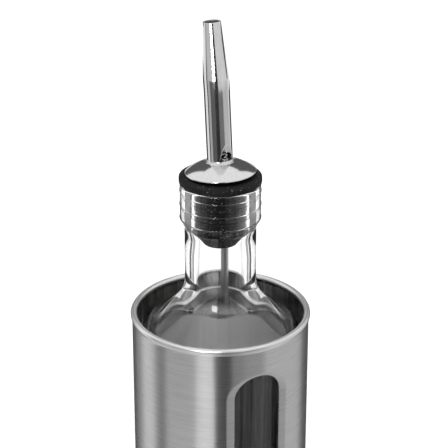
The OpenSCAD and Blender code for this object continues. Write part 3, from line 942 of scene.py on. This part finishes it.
print("points pressed by the notch:", press_notch(spout.data))


# %% [markdown]
# ### Bending along a line
# The centre line is a curve object with smooth corners. The tree reads each point's height as a length
# along that curve, and moves the point to the place and direction that the curve has there.

# %% The bending tree
def bending_tree():
    """Carries a straight piece along a line, by each point's height above Start."""
    tree, given, out = new_group(
        "Bent Along A Line", "GeometryNodeTree",
        {"Piece": "NodeSocketGeometry", "Line": "NodeSocketObject", "Start": 0.0,
         "Material": "NodeSocketMaterial"},
        {"Geometry": "NodeSocketGeometry"},
    )
    line = add(tree, "GeometryNodeObjectInfo", {"Object": given["Line"]}).outputs["Geometry"]
    position = add(tree, "GeometryNodeInputPosition").outputs[0]
    point = add(tree, "ShaderNodeSeparateXYZ", {0: position}).outputs
    length = maths(tree, "SUBTRACT", point["Z"], given["Start"])
    sample = add(tree, "GeometryNodeSampleCurve", {"Curves": line, "Length": length}, mode="LENGTH")
    across = vector_maths(tree, "CROSS_PRODUCT", sample.outputs["Tangent"], (1.0, 0.0, 0.0))
    forward = add(tree, "ShaderNodeVectorMath", {0: across, "Scale": point["Y"]}, operation="SCALE")
    sideways = add(tree, "ShaderNodeCombineXYZ", {"X": point["X"]}).outputs[0]
    first = vector_maths(tree, "ADD", sample.outputs["Position"], forward.outputs[0])
    moved = vector_maths(tree, "ADD", first, sideways)
    placed = add(tree, "GeometryNodeSetPosition", {"Geometry": given["Piece"], "Position": moved})
    return finish_tree(tree, placed.outputs[0], given["Material"], out)


def centre_line(name, corners):
    """A poly curve through rounded corners in the YZ plane, for the tree above."""
    curve = bpy.data.curves.new(name, "CURVE")
    curve.dimensions = "3D"
    points = rounded(corners, steps=12)
    spline = curve.splines.new("POLY")
    spline.points.add(len(points) - 1)
    for point, (y, z) in zip(spline.points, points):
        point.co = (0, y, z, 1)
    return new_object(name, curve)


# %% Bend the spout
inward = [face.normal.x * face.center.x + face.normal.y * face.center.y < 0
          for face in spout.data.polygons]
tip_lean = spout_lean + math.radians(2.7)
bend_y, bend_z = low_h * math.sin(spout_lean), boss_top + low_h * math.cos(spout_lean)
end_h = mid_h + taper_h + 1 * MM
spout_path = centre_line("spout_line", [
    (0, stem_low, 0), (0, boss_top, 25 * MM), (bend_y, bend_z, 40 * MM),
    (bend_y + end_h * math.sin(tip_lean), bend_z + end_h * math.cos(tip_lean), 0),
])
run_tree(spout, bending_tree(), {"Line": spout_path, "Start": stem_low, "Material": POLISHED})
bpy.data.objects.remove(spout_path)
spout.data.materials.clear()
for finish in (POLISHED, INSIDE_TIP):
    spout.data.materials.append(finish)
spout.data.polygons.foreach_set("material_index", [int(inside) for inside in inward])
spout.data.transform(Matrix.Rotation(pour_turn, 4, "Z"))
place(spout, "spout", "polished_steel", "pour_spout")
print("spout's highest point:", round(max(v.co.z for v in spout.data.vertices) / MM, 2), "mm")

# %% [markdown]
# ## The vent tube
# Air must get in while oil runs out. A thin drawn tube carries it from the notch down through the stem
# and hangs well below the cork. It is turned like the rest, with both ends cut square and deburred.

# %% The vent tube
vent_wall = 0.4 * MM
vent_low, vent_top = low("vent_tube"), top("vent_tube")
burr = vent_wall * 0.4
vent_line = rounded([
    (vent_r - vent_wall, vent_low, burr), (vent_r, vent_low, burr),
    (vent_r, vent_top, burr), (vent_r - vent_wall, vent_top, burr),
], closed=True, steps=4)
vent = turn("vent_pipe", even(vent_line, 2 * MM), DRAWN, Steps=64)
vent.data.transform(Matrix.Rotation(pour_turn, 4, "Z") @ Matrix.Translation((0, -vent_off, 0)))
place(vent, "spout", "vent_steel", "vent_tube")

# %% [markdown]
# ## Camera
# The picture looks down on the bottle from its left front with a long lens. The camera's place was
# worked out from the ellipses of the rim and the mouth.

# %% Camera
camera_turn = math.radians(25.8)
camera_pitch = math.radians(24.39)
camera_away = 572.1 * MM
camera_z = 484.4 * MM
camera = new_object("camera", bpy.data.cameras.new("camera"))
camera.data.lens = 136.1
camera.data.sensor_width = 36
camera.data.shift_x = 0.008
camera.location = (-camera_away * math.sin(camera_turn), -camera_away * math.cos(camera_turn), camera_z)
camera.rotation_euler = (math.pi / 2 - camera_pitch, 0, -camera_turn)
bpy.context.scene.camera = camera
print("camera at", [round(v, 3) for v in camera.location])

# %% [markdown]
# ## Studio
# Steel shows the room more than itself. The bottle stands on a pale floor in a white room, with three
# soft lamps that light what is dull. The room is white to rays that come from the camera, or off and
# through the object, and greyer to the light that falls on things, so that their colours stay true.

# %% The white room
bpy.context.scene.view_settings.view_transform = "Standard"
background_white = 1.0
room_grey = 0.55


def backdrop_rays(tree):
    """One for rays that should see the white background: the camera's, reflected and refracted ones."""
    path = add(tree, "ShaderNodeLightPath").outputs
    seen = maths(tree, "ADD", path["Is Camera Ray"], path["Is Glossy Ray"])
    seen = maths(tree, "ADD", seen, path["Is Transmission Ray"])
    return maths(tree, "MINIMUM", seen, 1.0)


world = bpy.data.worlds.new("white_room")
bpy.context.scene.world = world
world.use_nodes = True
sky = world.node_tree
backdrop = sky.nodes["Background"]
backdrop.inputs["Color"].default_value = (1, 1, 1, 1)
strength = between(sky, backdrop_rays(sky), room_grey, background_white)
sky.links.new(strength, backdrop.inputs["Strength"])
print("room:", room_grey, "to falling light,", background_white, "as seen")


# %% Floor
def by_distance(tree, place, centre, near, far, at_near, at_far):
    """A value that changes smoothly from at_near, near the centre, to at_far, far from it."""
    away = add(tree, "ShaderNodeVectorMath", {0: place, 1: centre}, operation="DISTANCE")
    return ramp(tree, away.outputs["Value"], near, far, at_near, at_far)


floor_half = 3.0
floor_corners = [(x * floor_half, y * floor_half, 0) for x, y in ((-1, -1), (1, -1), (1, 1), (-1, 1))]
floor = mesh_object("floor", floor_corners, faces=[(0, 1, 2, 3)])
floor_paint, floor_tree, floor_shader, floor_place = new_material("pale_floor")
fixed(floor_shader, Base_Color=(0.80, 0.80, 0.80, 1), Roughness=0.9, Specular_IOR_Level=0.0,
      Emission_Color=(1, 1, 1, 1))
shadow_near, shadow_far = 0.12, 0.45
sweep = by_distance(floor_tree, floor_place, (0, 0, 0), shadow_near, shadow_far, 0.28, 0.60)
floor_tree.links.new(maths(floor_tree, "MULTIPLY", backdrop_rays(floor_tree), sweep),
                     floor_shader.inputs["Emission Strength"])
floor.data.materials.append(floor_paint)


# %% Lamps
def lamp(name, power, size, azimuth, elevation, distance):
    """A square soft light that shines on the bottle. Reflections and glass don't show it."""
    data = bpy.data.lights.new(name, "AREA")
    data.energy = power
    data.size = size
    aim = Vector((0, 0, 0.15))
    a, e = math.radians(azimuth), math.radians(elevation)
    away = Vector((math.sin(a) * math.cos(e), -math.cos(a) * math.cos(e), math.sin(e)))
    light = new_object(name, data)
    light.location = aim + away * distance
    light.rotation_euler = away.to_track_quat("Z", "Y").to_euler()
    light.visible_camera = light.visible_glossy = light.visible_transmission = False
    print(f"{name}: {power} W at", [round(v, 2) for v in light.location])


lamp("key_light", 6.0, 0.9, -70, 50, 1.3)
lamp("fill_light", 3.5, 0.9, 50, 45, 1.4)
lamp("top_light", 3.0, 1.0, 0, 88, 1.3)

# %% [markdown]
# ### Cards
# A card is a glowing strip that stands round the bottle, out of the camera's sight. Steel shows it as
# an upright band: its bearing is the band's place, and its strength is the band's tone. The tube, the
# spout's foot, its bend and the dome each look out at another height, so the cards stand in tiers.
# Glass needs cards of its own. What is seen straight through it must stay white, or the bottle looks
# smoked. Only light that was thrown back inside the glass may meet a dark card, and that draws the
# dark lines along a bottle's edges. A bright ceiling, which glass alone shows, lights the shoulder.

# %% Card helpers
card_away = 0.24
ceiling = 0.60
ceiling_r = 0.90


def card_paint(name, strength, through_glass):
    """A glowing card. Straight through glass, a dark one is as white as the room. A bright one that
    glass shows fades to the room's white away from its middle."""
    paint = bpy.data.materials.new(name)
    paint.use_nodes = True
    tree = paint.node_tree
    tree.nodes.clear()
    light = add(tree, "ShaderNodeEmission", {"Strength": strength})
    if through_glass and strength > background_white:
        place = add(tree, "ShaderNodeTexCoord").outputs["Object"]
        glow = by_distance(tree, place, (0, 0, ceiling), 0.0, ceiling_r, strength, background_white)
        tree.links.new(glow, light.inputs["Strength"])
    elif through_glass:
        path = add(tree, "ShaderNodeLightPath").outputs
        bounced = maths(tree, "GREATER_THAN", path["Glossy Depth"], 0.5)
        tree.links.new(between(tree, bounced, background_white, strength), light.inputs["Strength"])
    out = add(tree, "ShaderNodeOutputMaterial")
    tree.links.new(light.outputs[0], out.inputs["Surface"])
    return paint


def upright(bottom, height, away=card_away):
    """The tier of a card that stands upright between two heights."""
    return [(away, bottom), (away, height)]


def cards(name, tier, bands, through_glass=False):
    """Curved cards of one tier, which show in reflections only, or else through glass only.
    A band is (start, stop, strength), in degrees to the right of the camera's side."""
    for number, (start, stop, strength) in enumerate(bands):
        ways = np.radians(np.linspace(start, stop, 9)) - camera_turn
        points = [(r * math.sin(w), -r * math.cos(w), z) for w in ways for r, z in tier]
        rows = len(tier)
        faces = [(i * rows + k, i * rows + k + 1, (i + 1) * rows + k + 1, (i + 1) * rows + k)
                 for i in range(len(ways) - 1) for k in range(rows - 1)]
        made = mesh_object(f"{name}_{number}", points, faces=faces)
        made.data.materials.append(card_paint(made.name, strength, through_glass))
        made.visible_camera = made.visible_diffuse = made.visible_shadow = False
        made.visible_transmission = through_glass
        made.visible_glossy = not through_glass
    print(f"{name}: {len(bands)}, up to {tier[-1][1]} m")


# %% Cards that the steel shows
floor_clear = 0.0006
foot_clear = 0.036
tube_seen = 0.125
spout_bend_seen = 0.240
dome_seen = 0.272
spout_seen = 0.5
cards("low_card", [(foot_clear, floor_clear)] + upright(floor_clear, tube_seen), [
    (-165, -133, 0.10), (-133, -115, 0.34), (-115, -88, 0.88), (-88, -71, 0.22), (-71, -30, 0.66),
    (-30, -7, 1.05), (-7, 14, 0.10), (14, 30, 0.34), (30, 56, 0.45), (56, 122, 0.66), (122, 165, 0.10),
])
cards("middle_card", upright(tube_seen, spout_bend_seen), [
    (-122, -92, 1.0), (-92, -80, 0.08), (-80, -58, 0.50), (-58, -20, 0.12),
    (-20, 12, 0.03), (12, 52, 0.20), (52, 110, 0.60), (110, 125, 0.90),
])
cards("spout_foot_card", upright(tube_seen, 0.212), [(-172, -122, 0.06), (125, 172, 0.06)])
cards("upper_card", upright(spout_bend_seen, spout_seen), [
    (-112, -92, 1.0), (-92, -76, 0.40), (-76, -22, 0.66),
    (-22, -9, 0.30), (-9, 14, 0.03), (14, 108, 0.80),
])
cards("spout_edge_card", upright(spout_bend_seen, dome_seen), [(-174, -112, 0.09), (108, 174, 0.09)])
cards("dome_card", upright(dome_seen, 0.52), [(-176, -141, 0.12), (141, 176, 0.12)])
cards("glint_card", upright(0.262, 0.34, card_away - 0.005), [(-24, -9, 16.0)])

# %% Cards that the glass shows
window_seen = 0.060
neck_seen = 0.106
cork_seen = 0.26
cards("neck_flag", upright(0.0, neck_seen), [
    (-154, -138, 0.03), (-134, -120, 0.36), (120, 134, 0.36), (138, 154, 0.03),
], through_glass=True)
cards("mouth_flag", upright(neck_seen, spout_seen), [(-164, -118, 0.20), (118, 164, 0.20)],
      through_glass=True)
cards("window_flag", upright(0.0, window_seen), [(-98, 98, 0.07)], through_glass=True)
cards("vent_flag", upright(window_seen, neck_seen), [
    (-98, -55, 0.25), (-55, -20, 0.85), (-20, 30, 0.30), (30, 60, 0.12), (60, 98, 0.90),
], through_glass=True)
cards("cork_flag", upright(neck_seen, cork_seen), [
    (-98, -50, 0.55), (-50, -20, 0.12), (-20, 30, 0.03), (30, 60, 0.40), (60, 98, 0.90),
], through_glass=True)
cards("ceiling_light", [(0.001, ceiling), (ceiling_r, ceiling)], [(-180, 0, 4.0), (0, 180, 4.0)],
      through_glass=True)
